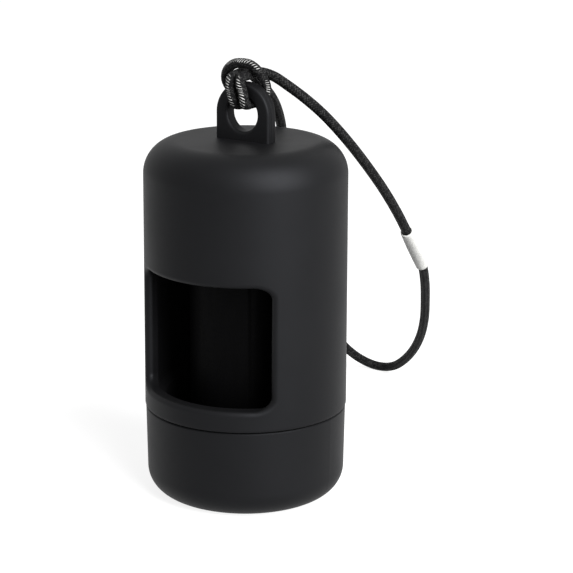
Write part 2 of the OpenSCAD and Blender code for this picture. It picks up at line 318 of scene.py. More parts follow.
def ring_uv(rings, lengths):
    """UV pairs for skin_rings: turn round the ring, and length along the run."""
    n = len(rings[0])
    pairs = []
    for i in range(len(rings) - 1):
        for k in range(n):
            pairs += [(k / n, lengths[i]), ((k + 1) / n, lengths[i]),
                      ((k + 1) / n, lengths[i + 1]), (k / n, lengths[i + 1])]
    pairs += [(k / n, lengths[0]) for k in range(n - 1, -1, -1)]
    pairs += [(k / n, lengths[-1]) for k in range(n)]
    return pairs


def closed_band(count, n):
    """Quads of count sections of n points each, joined both ways in a ring."""
    faces = []
    for i in range(count):
        j = (i + 1) % count
        for k in range(n):
            m = (k + 1) % n
            faces.append((i * n + k, i * n + m, j * n + m, j * n + k))
    return faces


def toned(colour, factor):
    """The colour made lighter or darker by the factor, at most white."""
    return tuple(min(1.0, part * factor) for part in colour)


class NodeBench:
    """Small helper that places and links the nodes of a material or of the room."""

    def __init__(self, owner):
        owner.use_nodes = True
        self.owner = owner
        self.tree = owner.node_tree
        self.tree.nodes.clear()

    def put(self, socket, value):
        """Gives a socket another node's output, a colour, a vector or a number."""
        if isinstance(value, bpy.types.NodeSocket):
            self.tree.links.new(value, socket)
        elif socket.type == "RGBA":
            socket.default_value = (*value, 1.0)
        else:
            socket.default_value = value

    def add(self, kind, feeds=None, **settings):
        """New node with its settings and what its inputs are fed with."""
        node = self.tree.nodes.new(kind)
        row, column = divmod(len(self.tree.nodes), 9)
        node.location = (-220 * column, -260 * row)
        for key, value in settings.items():
            setattr(node, key, value)
        for key, value in (feeds or {}).items():
            self.put(node.inputs[key], value)
        return node

    def coat(self, feeds):
        """Surface shader with its own sockets fed; returns the material."""
        shader = self.add("ShaderNodeBsdfPrincipled", feeds)
        self.add("ShaderNodeOutputMaterial", {"Surface": shader.outputs["BSDF"]})
        return self.owner

    def maths(self, operation, *terms):
        """Math node; each term is a number or an output."""
        feeds = dict(enumerate(terms))
        return self.add("ShaderNodeMath", feeds, operation=operation).outputs[0]

    def place(self, stretch=(1, 1, 1)):
        """Object coordinates, stretched along an axis where the surface needs it."""
        where = self.add("ShaderNodeTexCoord").outputs["Object"]
        feeds = {"Vector": where, "Scale": stretch}
        return self.add("ShaderNodeMapping", feeds).outputs["Vector"]

    def speckle(self, place, scale, detail=2.0, roughness=0.5):
        """Noise value at the given scale, in features per metre."""
        feeds = {"Vector": place, "Scale": scale, "Detail": detail,
                 "Roughness": roughness}
        return self.add("ShaderNodeTexNoise", feeds).outputs["Fac"]

    def span(self, value, low, high, to_low=0.0, to_high=1.0):
        """Value mapped from one range to another, clamped."""
        feeds = {"Value": value, "From Min": low, "From Max": high,
                 "To Min": to_low, "To Max": to_high}
        return self.add("ShaderNodeMapRange", feeds, clamp=True).outputs["Result"]

    def blend(self, factor, first, second):
        """Colour mixed from the first to the second by the factor."""
        # the mix node's two colours are its inputs 6 and 7, the mixed one its output 2
        feeds = {"Factor": factor, 6: first, 7: second}
        return self.add("ShaderNodeMix", feeds, data_type="RGBA").outputs[2]

    def emboss(self, height, distance, strength, under=None):
        """Bump of the given depth in metres, on top of another where one is given."""
        feeds = {"Distance": distance, "Strength": strength, "Height": height}
        if under is not None:
            feeds["Normal"] = under
        return self.add("ShaderNodeBump", feeds).outputs["Normal"]

    def seen_directly(self):
        """1 for rays from the camera, from glossy and from clear surfaces."""
        path = self.add("ShaderNodeLightPath").outputs
        seen = self.maths("MAXIMUM", path["Is Camera Ray"], path["Is Glossy Ray"])
        return self.maths("MAXIMUM", seen, path["Is Transmission Ray"])


def moulded_plastic(name, colour, roughness):
    """Satin moulded plastic: spark-eroded grain, handling haze, a little dust, and
    reflections tinted blue as a painted cool light.
    """
    bench = NodeBench(bpy.data.materials.new(name))
    place = bench.place()
    grain = bench.speckle(place, 5200.0, 3.0, 0.62)
    swell = bench.speckle(place, 240.0)
    haze = bench.speckle(place, 55.0, 4.0, 0.6)
    dust = bench.add("ShaderNodeTexVoronoi", {"Vector": place, "Scale": 210.0},
                     feature="F1").outputs
    pick = bench.add("ShaderNodeSeparateColor", {"Color": dust["Color"]}).outputs
    size = bench.span(pick["Red"], 0.86, 1.0, 0.0, 0.034)
    near = bench.maths("LESS_THAN", dust["Distance"], size)
    speck = bench.maths("MULTIPLY", near, 0.5)
    ground = bench.blend(bench.span(haze, 0.3, 0.7), toned(colour, 0.82),
                         toned(colour, 1.18))
    worn = bench.span(haze, 0.3, 0.7, roughness - 0.035, roughness + 0.035)
    fine = bench.span(grain, 0.3, 0.7, -0.03, 0.03)
    skin = bench.emboss(swell, 0.00002, 0.35)
    return bench.coat({
        "Base Color": bench.blend(speck, ground, (0.20, 0.20, 0.19)),
        "Roughness": bench.maths("ADD", worn, fine),
        "Normal": bench.emboss(grain, 0.000012, 0.5, skin),
        "IOR": 1.46,
        "Specular IOR Level": 0.135,
        # reflections tinted blue: painted cool light
        "Specular Tint": (0.90, 0.925, 1.0),
    })


def wound_film(name, colour):
    """Thin black film: fine windings along its length, soft wrinkles, low sheen, and a
    painted sheen that lightens its colour where the wrinkles rise.
    """
    bench = NodeBench(bpy.data.materials.new(name))
    rounds = bench.speckle(bench.place((1, 1, 9)), 420.0, 3.0, 0.55)
    wrinkle_and_sheen = bench.speckle(bench.place((1, 1, 0.25)), 260.0, 4.0, 0.6)
    first = bench.emboss(wrinkle_and_sheen, 0.00012, 0.5)
    return bench.coat({
        # the colour is lighter where the wrinkles rise: painted sheen
        "Base Color": bench.blend(bench.span(wrinkle_and_sheen, 0.35, 0.75), colour,
                                  toned(colour, 1.9)),
        "Roughness": bench.span(rounds, 0.3, 0.7, 0.5, 0.66),
        "Normal": bench.emboss(rounds, 0.00003, 0.4, first),
        "Specular IOR Level": 0.03,
    })


def core_board(name, colour):
    """Spiral-wound grey-brown board with fibres and a spiral seam."""
    bench = NodeBench(bpy.data.materials.new(name))
    place = bench.place()
    fibre = bench.speckle(bench.place((1, 1, 3)), 1500.0, 5.0, 0.65)
    cloud = bench.speckle(place, 120.0, 3.0)
    split = bench.add("ShaderNodeSeparateXYZ", {"Vector": place}).outputs
    turn = bench.maths("ARCTAN2", split["Y"], split["X"])
    turn = bench.maths("DIVIDE", turn, 2 * math.pi)
    rise = bench.maths("DIVIDE", split["Z"], 0.03)
    seam = bench.maths("FRACT", bench.maths("ADD", turn, rise))
    seam = bench.span(bench.maths("PINGPONG", seam, 0.5), 0.0, 0.02, 1.0, 0.0)
    ground = bench.blend(bench.span(fibre, 0.25, 0.75), toned(colour, 0.55), colour)
    ground = bench.blend(bench.span(cloud, 0.3, 0.7, 0.0, 0.35), ground,
                         toned(colour, 1.15))
    low = bench.emboss(fibre, 0.00004, 0.6)
    flush = bench.maths("SUBTRACT", 1.0, seam)
    return bench.coat({
        "Base Color": bench.blend(seam, ground, toned(colour, 0.3)),
        "Roughness": bench.span(fibre, 0.3, 0.7, 0.82, 0.95),
        "Normal": bench.emboss(flush, 0.0001, 0.8, low),
    })


def braid_waves(bench, around, along):
    """Two crossing sets of yarns: their joint height, and the cell of each point."""
    turn = bench.maths("MULTIPLY", around, YARNS)
    climb = bench.maths("DIVIDE", along, YARN_RISE)
    ridges, cell = [], []
    for operation in ("ADD", "SUBTRACT"):
        way = bench.maths(operation, turn, climb)
        wave = bench.maths("SINE", bench.maths("MULTIPLY", way, math.pi))
        ridges.append(bench.maths("ABSOLUTE", wave))
        cell.append(bench.maths("FLOOR", way))
    on_top = bench.maths("FLOORED_MODULO", bench.maths("ADD", *cell), 2.0)
    below = bench.maths("SUBTRACT", 1.0, on_top)
    height = bench.maths("ADD", bench.maths("MULTIPLY", ridges[0], on_top),
                         bench.maths("MULTIPLY", ridges[1], below))
    return height, cell


def braided_elastic(name, yarn, rubber):
    """Black braided cover over pale rubber, which shows where the knot stretches it."""
    bench = NodeBench(bpy.data.materials.new(name))
    run = bench.add("ShaderNodeUVMap", uv_map="Run").outputs["UV"]
    split = bench.add("ShaderNodeSeparateXYZ", {"Vector": run}).outputs
    around, along = split["X"], split["Y"]
    stretch, outward = (
        bench.add("ShaderNodeAttribute", attribute_name=key).outputs["Fac"]
        for key in ("stretched", "outward"))
    height, cell = braid_waves(bench, around, along)
    # ticks: the cover opens in slanted slits on the outer side of the stretched turns
    slit = bench.maths("ADD", bench.maths("DIVIDE", along, 0.50),
                       bench.maths("MULTIPLY", around, 6.0))
    row = bench.add("ShaderNodeTexWhiteNoise", {"W": bench.maths("FLOOR", slit)},
                    noise_dimensions="1D").outputs["Value"]
    edge = bench.maths("ADD", outward, bench.span(row, 0.0, 1.0, -0.07, 0.07))
    opened = bench.maths("MULTIPLY", stretch, bench.span(edge, 0.84, 0.94, 0.0, 0.85))
    tick = bench.span(bench.maths("PINGPONG", slit, 0.5), 0.10, 0.19, 1.0, 0.0)
    tick = bench.maths("MULTIPLY", tick, opened)
    # flecks: single pale filaments on the free legs, here and there
    where = bench.add("ShaderNodeCombineXYZ", {"X": cell[0], "Y": cell[1]})
    chance = bench.add("ShaderNodeTexWhiteNoise", {"Vector": where.outputs["Vector"]},
                       noise_dimensions="2D").outputs["Value"]
    fleck = bench.maths("MULTIPLY", bench.maths("GREATER_THAN", chance, 0.55),
                        bench.span(height, 0.55, 0.95, 0.0, 0.035))
    fibre = bench.speckle(bench.place(), 9000.0)
    dark = bench.blend(bench.span(fibre, 0.3, 0.7), toned(yarn, 0.6), toned(yarn, 1.5))
    weave = bench.emboss(height, 0.00010, 0.9)
    return bench.coat({
        "Base Color": bench.blend(bench.maths("MAXIMUM", tick, fleck), dark, rubber),
        "Roughness": bench.span(fibre, 0.3, 0.7, 0.5, 0.66),
        "Normal": bench.emboss(fibre, 0.00002, 0.5, weave),
        "Sheen Weight": 0.01,
        "Sheen Roughness": 0.5,
        "Specular IOR Level": 0.06,
    })


def sleeve_plastic(name, colour):
    """Smooth off-white plastic, a little clouded."""
    bench = NodeBench(bpy.data.materials.new(name))
    cloud = bench.speckle(bench.place(), 500.0, 3.0)
    fine = bench.speckle(bench.place(), 4000.0)
    return bench.coat({
        "Base Color": bench.blend(bench.span(cloud, 0.3, 0.7), toned(colour, 0.93),
                                  toned(colour, 1.05)),
        "Roughness": bench.span(cloud, 0.3, 0.7, 0.5, 0.62),
        "Normal": bench.emboss(fine, 0.000015, 0.5),
        "Specular IOR Level": 0.3,
        "Subsurface Weight": 0.25,
        "Subsurface Radius": (1.0, 1.0, 1.0),
        "Subsurface Scale": 0.0015,
    })


def clothe(node, material):
    """Puts a material on every slot of a frame solid."""
    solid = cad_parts[node]
    if not solid.material_slots:
        solid.data.materials.append(material)
    for slot in solid.material_slots:
        slot.material = material


class DISPENSER_OT_camera(Operator):
    """Camera at the photograph's place, turned a little about its own upright"""
    bl_idname = "dispenser.camera"
    bl_label = "Camera"

    def execute(self, context):
        studio = context.scene.dispenser_studio
        a, e = studio.azimuth, studio.elevation
        back = Vector((math.sin(a) * math.cos(e), -math.cos(a) * math.cos(e),
                       math.sin(e)))
        right = Vector((math.cos(a), math.sin(a), 0.0))
        up = back.cross(right)
        ahead = Matrix.Rotation(-studio.side_turn, 3, up) @ -back
        right = ahead.cross(up).normalized()
        data = bpy.data.cameras.new("camera")
        data.lens = studio.lens
        data.sensor_width = 36.0
        data.clip_start, data.clip_end = 0.01, 20.0
        camera = bpy.data.objects.new("camera", data)
        turn = Matrix((right, up, -ahead)).transposed().to_4x4()
        place = Vector((0.0, 0.0, studio.aim_height)) + back * studio.distance
        camera.matrix_world = Matrix.Translation(place) @ turn
        context.scene.collection.objects.link(camera)
        context.scene.camera = camera
        return {"FINISHED"}


class DISPENSER_OT_elastic(Operator):
    """Braided elastic: one unbroken run from the sleeve round the loop and the knot"""
    bl_idname = "dispenser.elastic"
    bl_label = "Elastic loop and crimp sleeve"

    sides: IntProperty(
        name="Sides", description="Sides round the elastic", default=32, min=12)

    def execute(self, context):
        sizes = context.scene.dispenser_sizes
        finishes = context.scene.dispenser_finishes
        ends = (END_SPACE, sizes.sleeve_length / 2)
        route = [SLEEVE_MIDDLE - SLEEVE_ALONG * away for away in ends]
        route += LOWER_RUN + KNOT_RUN + UPPER_RUN
        route += [SLEEVE_MIDDLE + SLEEVE_ALONG * away for away in reversed(ends)]
        line, length = smooth_line(route, step=0.00022)
        knot_start = self.nearest(line, KNOT_RUN[2])
        knot_end = self.nearest(line, KNOT_RUN[-3])
        fade = 22  # steps over which the elastic takes up the knot's stretch
        rings, lengths, stretched, outward = [], [], [], []
        sides = carried_sides(line, (1.0, 0.0, 0.0))
        step = length / (len(line) - 1)
        for i, (centre, (side, upright)) in enumerate(zip(line, sides)):
            share = 0.5 + min(i - knot_start, knot_end - i) / fade
            share = max(0.0, min(1.0, share))
            share = share * share * (3 - 2 * share)
            radius = (sizes.elastic_diameter * (1 - share)
                      + sizes.elastic_stretched * share) / 2
            away = (centre - KNOT_MIDDLE).normalized()
            along = i * step * 1000
            climb = along / YARN_RISE
            ring = []
            for k in range(self.sides):
                turn = k / self.sides
                right, left = YARNS * turn + climb, YARNS * turn - climb
                over = (math.floor(right) + math.floor(left)) % 2
                height = abs(math.sin(math.pi * (right if over else left)))
                reach = radius - YARN_DEPTH + YARN_DEPTH * height
                angle = 2 * math.pi * turn
                at = (centre + side * (reach * math.cos(angle))
                      + upright * (reach * math.sin(angle)))
                at.z = max(at.z, 0.0)
                ring.append(at)
                outward.append((at - centre).normalized().dot(away))
            rings.append(ring)
            lengths.append(along)
            stretched += [share] * self.sides
        vertices, faces = skin_rings(rings)
        material = braided_elastic("braided elastic", tuple(finishes.yarn),
                                   tuple(finishes.rubber))
        elastic = new_piece("elastic_loop", vertices, faces, material,
                            uv=ring_uv(rings, lengths))
        for key, values in (("stretched", stretched), ("outward", outward)):
            layer = elastic.data.attributes.new(key, "FLOAT", "POINT")
            layer.data.foreach_set("value", values)
        sleeve = self.sleeve(sizes, tuple(finishes.sleeve))
        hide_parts("elastic_cord")
        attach(elastic, "housing")
        return {"FINISHED"}

    @staticmethod
    def nearest(line, point):
        return min(range(len(line)), key=lambda i: (line[i] - point).length)

    def sleeve(self, sizes, colour):
        """Short tube, round at its lipped mouths and pressed flat in its middle."""
        side = (Vector((1, 0, 0)) - SLEEVE_ALONG.x * SLEEVE_ALONG).normalized()
        upright = SLEEVE_ALONG.cross(side)
        half, mouth = sizes.sleeve_length / 2, sizes.sleeve_mouth
        gap, lip, mark_depth = 0.00008, 0.00018, 0.00004
        bore = sizes.elastic_diameter / 2 + gap
        wall = []
        steps = 44
        for k in range(steps + 1):
            s = k / steps
            swell = math.sin(math.pi * s) ** 0.8
            width = mouth + (sizes.sleeve_width - mouth) * swell
            depth = mouth + (sizes.sleeve_thickness - mouth) * swell
            # the two shallow marks of the crimping tool
            marks = (math.exp(-((s - at) / 0.05) ** 2) for at in (0.34, 0.66))
            press = sum(mark_depth * mark for mark in marks)
            wall.append(((s - 0.5) * sizes.sleeve_length, width / 2, depth / 2 - press))

        def lipped(end, outward):
            at, a, b = end
            bent = []
            for t in (0.0, 0.52, 1.05, 1.57):
                inward = lip * (1 - math.cos(t))
                away = outward * (lip * math.sin(t) - lip)
                bent.append((at + away, a - inward, b - inward))
            return bent

        loop = lipped(wall[0], -1)[::-1]
        loop += [section for section in wall if abs(section[0]) < half - lip * 1.05]
        loop += lipped(wall[-1], 1)
        loop += [(at, bore, bore) for at in (half, 0.0, -half)]
        n = 48
        vertices = []
        for at, a, b in loop:
            centre = SLEEVE_MIDDLE + SLEEVE_ALONG * at
            for k in range(n):
                t = 2 * math.pi * k / n
                vertices.append(centre + side * (a * math.cos(t))
                                + upright * (b * math.sin(t)))
        piece = new_piece("crimp_tube", vertices, closed_band(len(loop), n),
                          sleeve_plastic("sleeve plastic", colour))
        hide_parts("crimp_sleeve")
        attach(piece, "housing")
        return piece


def skin_radius(z):
    """Radius of the can's drafted skin at height z, in millimetres."""
    return BODY_R - (BODY_R - TOP_R) * (z - SKIN_LOW) / (BODY_H - TOP_ROUND - SKIN_LOW)


def at_turn(r, turn, z):
    """Point at a turn round the can's axis, counted from the window's middle."""
    return r * math.sin(turn), -r * math.cos(turn), z


class DISPENSER_OT_can(Operator):
    """Moulded can: drafted shell with neck, window with rolled edge, hanging lug"""
    bl_idname = "dispenser.can"
    bl_label = "Can with window and lug"

    def execute(self, context):
        sizes = context.scene.dispenser_sizes
        finishes = context.scene.dispenser_finishes
        plastic = moulded_plastic("housing plastic", tuple(finishes.plastic),
                                  finishes.plastic_roughness)
        shell = self.shell(sizes, plastic)
        lug = self.lug(sizes, plastic)
        apart = enclosed_volume(shell.data, "the can's shell")
        apart += enclosed_volume(lug.data, "the lug")
        join = shell.modifiers.new("join", "BOOLEAN")
        join.operation = "UNION"
        join.solver = "EXACT"
        join.object = lug
        seen = context.evaluated_depsgraph_get()
        joined = bpy.data.meshes.new_from_object(shell.evaluated_get(seen))
        shell.modifiers.clear()
        shell.data = joined
        shell.data.name = "can_shell"
        bpy.data.objects.remove(lug, do_unlink=True)
        volume = enclosed_volume(joined, "the joined can")
        # the two share only the lug's foot inside the can's top
        if not 0.97 * apart < volume < apart:
            raise RuntimeError("the lug didn't join the can's shell: "
                               f"{volume * 1e9:.1f} of {apart * 1e9:.1f} mm3")
        joined.polygons.foreach_set("use_smooth", [True] * len(joined.polygons))
        joined.set_sharp_from_angle(angle=math.radians(33))
        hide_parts("housing")
        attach(shell, "housing")
        line = self.parting_line(sizes, plastic)
        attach(line, "housing")
        return {"FINISHED"}

    def window_stations(self, sizes):
        """Points on the window's outline and their normals, in the X-Z plane."""
        half_w, half_h = sizes.window_width * 500, sizes.window_height * 500
        rc, edge = sizes.window_corner * 1000, sizes.window_edge * 1000
        mid_z = sizes.window_sill * 1000 + half_h
        reach = rc + edge
        upright, level = (half_h - rc, PATCH_ROWS), (half_w - rc, 2 * PATCH_HALF)
        sides = ((1, 0, *upright), (0, 1, *level), (-1, 0, *upright), (0, -1, *level))
        stations = []
        for nx, nz, straight, count in sides:
            tx, tz = -nz, nx
            bend = reach * math.pi / 4
            length = 2 * straight + 2 * bend
            for i in range(count):
                s = length * i / count - length / 2
                over = max(0.0, abs(s) - straight) / reach
                tilt = math.copysign(over, s)
                along = max(-straight, min(straight, s))
                n = (nx * math.cos(tilt) + tx * math.sin(tilt),
                     nz * math.cos(tilt) + tz * math.sin(tilt))
                wide = half_w - rc if nx else half_h - rc
                x = nx * wide + tx * along + n[0] * rc
                z = nz * wide + tz * along + n[1] * rc
                stations.append((x, mid_z + z, n))
        return stations

    def rolled_edge(self, station, edge, steps):
        """Section through the window's edge: lip, roll, jamb and inner hem."""
        x, z, n = station
        cx, cz = x + edge * n[0], z + edge * n[1]
        reach = skin_radius(cz) - edge
        cy = -math.sqrt(reach * reach - cx * cx)
        centre = Vector((cx, cy, cz))
        start = Vector((cx, cy, 0.0)).normalized()
        end = Vector((-n[0], 0.0, -n[1]))
        turn = start.angle(end)
        section = []
        for k in range(steps + 1):
            t = k / steps
            aim = start * math.sin((1 - t) * turn) + end * math.sin(t * turn)
            section.append(centre + edge * (aim / math.sin(turn)))
        foot = section[-1]
        inner_y = -math.sqrt(BORE_R * BORE_R - foot.x * foot.x)
        for t in (0.3, 0.65, 1.0):
            section.append(Vector((foot.x, foot.y + (inner_y - foot.y) * t, foot.z)))
        return section

    def patch_rim(self, low):
        """Turn and height of the points round the patch that holds the window."""
        step = 2 * math.pi / TURN_STEPS
        rows = [low + (PATCH_HIGH - low) * i / PATCH_ROWS
                for i in range(PATCH_ROWS + 1)]
        rim = [(PATCH_HALF * step, rows[i]) for i in range(PATCH_ROWS)]
        rim += [((PATCH_HALF - i) * step, PATCH_HIGH) for i in range(2 * PATCH_HALF)]
        rim += [(-PATCH_HALF * step, rows[PATCH_ROWS - i]) for i in range(PATCH_ROWS)]
        rim += [((i - PATCH_HALF) * step, low) for i in range(2 * PATCH_HALF)]
        return rim, rows

    def profile(self, rows_out, rows_in):
        """Radius and height along the can's section, from inner to outer top."""
        arc = [math.pi / 2 * k / 24 for k in range(25)]
        seam = [math.pi / 2 * k / 3 for k in range(4)]
        neck_end = NECK_LOW + NECK_BREAK
        line = [(r, INNER_TOP) for r in (0.0, 5.0, 10.0)]
        line += [(BORE_R - INNER_ROUND + INNER_ROUND * math.sin(t),
                  INNER_TOP - INNER_ROUND + INNER_ROUND * math.cos(t))
                 for t in arc[::2]]
        line += [(BORE_R, z)
                 for z in (70.0, 66.0, 62.0, *reversed(rows_in), FUNNEL_TOP)]
        line += [(NECK_BORE, z) for z in (RING_TOP, 18.0, 14.0, neck_end)]
        line += [(NECK_BORE + NECK_BREAK, NECK_LOW), (NECK_R - NECK_BREAK, NECK_LOW)]
        line += [(NECK_R, z) for z in (neck_end, 14.0, 17.0, SHOULDER)]
        line += [(BODY_R - SEAM_BREAK + SEAM_BREAK * math.sin(t),
                  SKIN_LOW - SEAM_BREAK * math.cos(t)) for t in seam]
        heights = (21.3, *rows_out, 59.0, 62.0, 65.0, 68.0, 70.5)
        line += [(skin_radius(z), z) for z in heights]
        line += [(TOP_R - TOP_ROUND + TOP_ROUND * math.cos(t),
                  BODY_H - TOP_ROUND + TOP_ROUND * math.sin(t)) for t in arc]
        return line + [(TOP_FLAT, BODY_H)]

    def beside_window(self, r0, z0, r1, z1):
        """Whether this step of the profile crosses the patch that holds the window."""
        low, high = min(z0, z1), max(z0, z1)
        if high >= PATCH_HIGH + NEAR:
            return False
        if r0 > BORE_R + 1:
            return low > PATCH_LOW - NEAR
        in_bore = abs(r0 - BORE_R) < NEAR and abs(r1 - BORE_R) < NEAR
        return in_bore and low > PATCH_INNER_LOW - NEAR

    def strip(self, section, rim_out, rim_in):
        """Points from the patch's outer rim over the window's edge to its inner rim."""
        def between(end, rim, share):
            turn = math.atan2(end.x, -end.y)
            return turn + (rim[0] - turn) * share, end.z + (rim[1] - end.z) * share

        points = []
        for k in range(10, 0, -1):
            turn, z = between(section[0], rim_out, (k / 10) ** 1.3)
            points.append(at_turn(skin_radius(z), turn, z))
        points += [tuple(point) for point in section]
        for k in range(1, 6):
            turn, z = between(section[-1], rim_in, k / 5)
            points.append(at_turn(BORE_R, turn, z))
        return points

    def shell(self, sizes, material):
        """Closed mesh of the can: outside, inside and the window's rolled edge."""
        vertices, faces, index = [], [], {}

        def vertex(x, y, z):
            key = (round(x, 5), round(y, 5), round(z, 5))
            if key not in index:
                index[key] = len(vertices)
                vertices.append((x / 1000, y / 1000, z / 1000))
            return index[key]

        def around(r, z, i):
            return vertex(*at_turn(r, 2 * math.pi * i / TURN_STEPS, z))

        def add(*corners):
            kept = [v for k, v in enumerate(corners) if v != corners[k - 1]]
            if len(kept) > 2:
                faces.append(tuple(kept))

        rim_out, rows_out = self.patch_rim(PATCH_LOW)
        rim_in, rows_in = self.patch_rim(PATCH_INNER_LOW)
        profile = self.profile(rows_out, rows_in)
        for (r0, z0), (r1, z1) in zip(profile, profile[1:]):
            holed = self.beside_window(r0, z0, r1, z1)
            for i in range(TURN_STEPS):
                turn = i if i < TURN_STEPS // 2 else i - TURN_STEPS
                if holed and -PATCH_HALF <= turn < PATCH_HALF:
                    continue
                add(around(r0, z0, i), around(r0, z0, i + 1),
                    around(r1, z1, i + 1), around(r1, z1, i))
        faces.append(tuple(around(TOP_FLAT, BODY_H, i) for i in range(TURN_STEPS)))

        edge = sizes.window_edge * 1000
        sections = [self.rolled_edge(station, edge, 12)
                    for station in self.window_stations(sizes)]
        strips = [[vertex(*point) for point in self.strip(*parts)]
                  for parts in zip(sections, rim_out, rim_in)]
        for here, after in zip(strips, strips[1:] + strips[:1]):
            for k in range(len(here) - 1):
                add(here[k], after[k], after[k + 1], here[k + 1])
        return new_piece("can_shell", vertices, faces, material)

    def lug_line(self, r, foot, steps, bends):
        """Outline from foot to foot over the lug's top, with its outward normals."""
        rise = EYE_Z - foot
        line = [(r, foot + rise * k / steps, 1.0, 0.0) for k in range(steps)]
        for k in range(bends + 1):
            c, s = math.cos(math.pi * k / bends), math.sin(math.pi * k / bends)
            line.append((r * c, EYE_Z + r * s, c, s))
        return line + [(-r, EYE_Z - rise * k / steps, -1.0, 0.0)
                       for k in range(1, steps + 1)]

    def lug(self, sizes, material):
        """Rounded plate with an eye, its edges and the eye's rims rounded."""
        half_t, lug_r = LUG_T / 2, sizes.lug_width * 500
        foot = BODY_H - LUG_SUNK
        outline = self.lug_line(lug_r, foot, 10, 64)
        # the foot inside the can is square, so its edge can't fold over itself
        foot_half, half_steps = lug_r - 1.5 * LUG_EDGE, 15
        outline += [(foot_half * (k / half_steps - 1), foot, 0.0, 0.0)
                    for k in range(2 * half_steps + 1)]
        rings = []
        for x, z, nx, nz in outline:
            length = math.hypot(x, z - EYE_Z)
            ux, uz = x / length, (z - EYE_Z) / length
            rim, eye = [], []
            for k in range(7):
                t = math.pi / 2 * k / 6
                inward, back = 1 - math.sin(t), 1 - math.cos(t)
                rim.append((x - nx * LUG_EDGE * inward, LUG_EDGE * back - half_t,
                            z - nz * LUG_EDGE * inward))
                eye.append((ux * EYE_R + ux * EYE_EDGE * inward,
                            half_t - EYE_EDGE * back,
                            EYE_Z + uz * EYE_R + uz * EYE_EDGE * inward))
            ring = []
            for front in (rim, eye):
                ring += front + [(px, -py, pz) for px, py, pz in reversed(front)]
            rings.append(ring)
        vertices = [(px / 1000, py / 1000, pz / 1000)
                    for ring in rings for px, py, pz in ring]
        band = closed_band(len(rings), len(rings[0]))
        faces = [(a, d, c, b) for a, b, c, d in band]
        return new_piece("lug", vertices, faces, material)

    def parting_line(self, sizes, material):
        """Low flat bead round the lug's rim, where the mould's halves met."""
        half, proud, sunk = 0.00022, 0.00007, 0.0002
        foot = 79.7  # millimetres, just inside the can's top
        bead = ((-sunk, -half), (0.4 * proud, -half), (proud, -0.6 * half),
                (proud, 0.6 * half), (0.4 * proud, half), (-sunk, half))
        across = Vector((0, 1, 0))
        path = [(Vector((x, 0, z)) / 1000, Vector((nx, 0, nz)))
                for x, z, nx, nz in self.lug_line(sizes.lug_width * 500, foot, 8, 32)]
        rings = [[at + out * up + across * wide for up, wide in bead]
                 for at, out in path]
        vertices, faces = skin_rings(rings)
        return new_piece("lug_parting_line", vertices, faces, material, smooth=False)


class DISPENSER_OT_base(Operator):
    """Finish of the screw base"""
    bl_idname = "dispenser.base"
    bl_label = "Screw base"

    def execute(self, context):
        finishes = context.scene.dispenser_finishes
        clothe("screw_base", moulded_plastic(
            "base plastic", toned(finishes.plastic, 0.97),
            finishes.plastic_roughness + 0.01))
        return {"FINISHED"}


class DISPENSER_OT_roll(Operator):
    """Wound film with its loose end, and the board of its core"""
    bl_idname = "dispenser.roll"
    bl_label = "Bag roll"

    turns_shown: IntProperty(
        name="Windings", description="Winding steps on each face", default=14, min=4)

    def execute(self, context):
        sizes = context.scene.dispenser_sizes
        finishes = context.scene.dispenser_finishes
        clothe("roll_core", core_board("core board", tuple(finishes.board)))
        lo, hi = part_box("bag_film")
        outer = (hi.x - lo.x) / 2
        middle_z, half = (lo.z + hi.z) / 2, (hi.z - lo.z) / 2
        section = self.section(outer, half)
        count, n = 180, len(section)
        skirt, drawn_in = 0.0012, 0.00016  # depth that moves, and its smallest turn
        vertices = []
        for k in range(count):
            turn = k / count
            angle = 2 * math.pi * turn - math.radians(52)
            c, s = math.cos(angle), math.sin(angle)
            for r, z in section:
                near = max(0.0, (r - outer + skirt) / skirt)
                spiral = sizes.film_loose_end * turn - drawn_in
                ruffle = noise.noise(Vector((c * 3.1, s * 3.1, z * 160))) * 0.00010
                ruffle += noise.noise(Vector((c * 11, s * 11, z * 60))) * 0.00007
                reach = min(r + near * (spiral + ruffle), outer)
                vertices.append(Vector((reach * c, reach * s, middle_z + z)))
        film = new_piece("film_roll", vertices, closed_band(count, n),
                         wound_film("wound film", tuple(finishes.film)))
        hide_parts("bag_film")
        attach(film, "bag_film")
        return {"FINISHED"}

    def section(self, outer, half):
        """Radius and height round the roll's section, its dished ends in windings."""
        inner, face, fold = 0.0078, outer - 0.0009, 0.0007
        dish, furrow, wall_in = 0.0008, 0.00022, 0.0002
        end = []
        for j in range(self.turns_shown + 1):
            s = j / self.turns_shown
            level = half - dish * (1 - s)
            end.append((inner + (face - inner) * s, level))
            if j < self.turns_shown:
                groove = s + 0.5 / self.turns_shown
                end.append((inner + (face - inner) * groove, level - furrow))
        for t in (0.35, 0.8, 1.25):
            end.append((face + fold * math.sin(t), half - fold + fold * math.cos(t)))
        rows = 26
        wall = [(outer - wall_in, half * (1 - 2 * (r + 1) / (rows + 1)))
                for r in range(rows)]
        return end + wall + [(r, -z) for r, z in reversed(end)]


